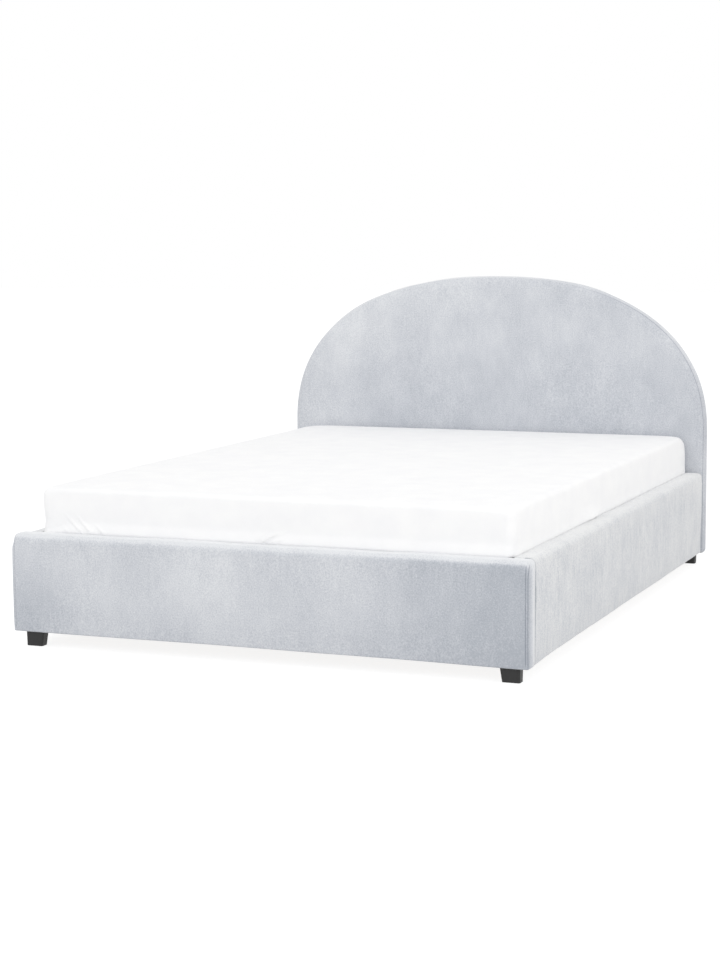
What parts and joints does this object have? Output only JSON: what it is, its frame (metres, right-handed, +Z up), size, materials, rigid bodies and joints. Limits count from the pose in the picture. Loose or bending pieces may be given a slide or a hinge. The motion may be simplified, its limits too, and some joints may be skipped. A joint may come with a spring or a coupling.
{
  "type": "double bed",
  "caption": "Upholstered double bed with an arched headboard, low padded rails, short feet and a gas-strut lift-up slatted platform over storage, with mattress and fitted sheet.",
  "frame": {"origin": "on the floor, at the middle of the bed's outline", "axes": "+X to the right of someone who stands at the foot and faces the headboard, +Y from foot to head, +Z up"},
  "size_m": [1.544, 2.125, 1.008],
  "materials": {
    "velvet": "matte",
    "back_cloth": "matte",
    "board": "matte",
    "slat_wood": "satin",
    "foot_plastic": "satin",
    "holder_plastic": "matte",
    "rubber_pad": "matte",
    "zinc_steel": "satin",
    "black_steel": "satin",
    "lift_steel": "satin",
    "strut_black": "gloss",
    "strut_chrome": "polished",
    "webbing": "matte",
    "ticking": "matte",
    "sheet_cotton": "matte"
  },
  "bodies": {
    "frame": {"headboard_board": "board", "headboard_pad": "velvet", "headboard_back_cloth": "back_cloth", "footboard_board": "board", "footboard_cover": "velvet", "left_rail_board": "board", "right_rail_board": "board", "left_rail_cover": "velvet", "right_rail_cover": "velvet", "corner_brackets": "zinc_steel", "corner_bolts": "zinc_steel", "corner_feet": "foot_plastic", "foot_studs": "zinc_steel", "middle_feet": "foot_plastic", "floor_ledges": "board", "floor_middle_rail": "board", "middle_rail_angles": "zinc_steel", "floor_battens": "board", "floor_panels": "board", "left_platform_ledge": "black_steel", "right_platform_ledge": "black_steel", "foot_platform_ledge": "black_steel", "ledge_pads": "rubber_pad", "left_base_plate": "lift_steel", "right_base_plate": "lift_steel", "base_plate_bolts": "zinc_steel", "base_pivot_pins": "zinc_steel", "strut_low_pins": "zinc_steel"},
    "front_arms": {"left_front_arm": "lift_steel", "right_front_arm": "lift_steel", "strut_top_pins": "zinc_steel"},
    "rear_arms": {"left_rear_arm": "lift_steel", "right_rear_arm": "lift_steel"},
    "platform": {"left_hinge_plate": "lift_steel", "right_hinge_plate": "lift_steel", "hinge_plate_bolts": "zinc_steel", "platform_pivot_pins": "zinc_steel", "left_side_tube": "black_steel", "right_side_tube": "black_steel", "head_tube": "black_steel", "foot_tube": "black_steel", "middle_tube": "black_steel", "cross_tubes": "black_steel", "left_slats": "slat_wood", "right_slats": "slat_wood", "slat_end_holders": "holder_plastic", "slat_middle_holders": "holder_plastic", "pull_strap": "webbing", "mattress": "ticking", "fitted_sheet": "sheet_cotton"},
    "strut_cylinders": {"left_strut_cylinder": "strut_black", "right_strut_cylinder": "strut_black"},
    "strut_rods": {"left_strut_rod": "strut_chrome", "right_strut_rod": "strut_chrome"}
  },
  "joints": [
    {"name": "platform_lift", "type": "hinge", "parent": "frame", "child": "front_arms", "pos_m": [0, 0.3555, 0.118], "axis": [1, 0, 0], "range_deg": [0, 36.7]},
    {"name": "platform_tilt", "type": "hinge", "parent": "front_arms", "child": "platform", "pos_m": [0, 0.6945, 0.239], "axis": [1, 0, 0], "range_deg": [-67.7, 0]},
    {"name": "rear_arm_turn", "type": "hinge", "parent": "frame", "child": "rear_arms", "pos_m": [0, 0.5425, 0.125], "axis": [1, 0, 0], "range_deg": [0, 44]},
    {"name": "strut_foot_turn", "type": "hinge", "parent": "frame", "child": "strut_cylinders", "pos_m": [0, 0.7305, 0.11], "axis": [1, 0, 0], "range_deg": [0, 0.6]},
    {"name": "strut_head_turn", "type": "hinge", "parent": "front_arms", "child": "strut_rods", "pos_m": [0, 0.3995, 0.203], "axis": [1, 0, 0], "range_deg": [-36.3, 0]}
  ],
  "couplings": [
    {"joint": "platform_tilt", "follows": "platform_lift", "ratio": -1.8411},
    {"joint": "rear_arm_turn", "follows": "platform_lift", "ratio": 1.1958},
    {"joint": "strut_foot_turn", "follows": "platform_lift", "ratio": 0.01468},
    {"joint": "strut_head_turn", "follows": "platform_lift", "ratio": -0.98532}
  ]
}
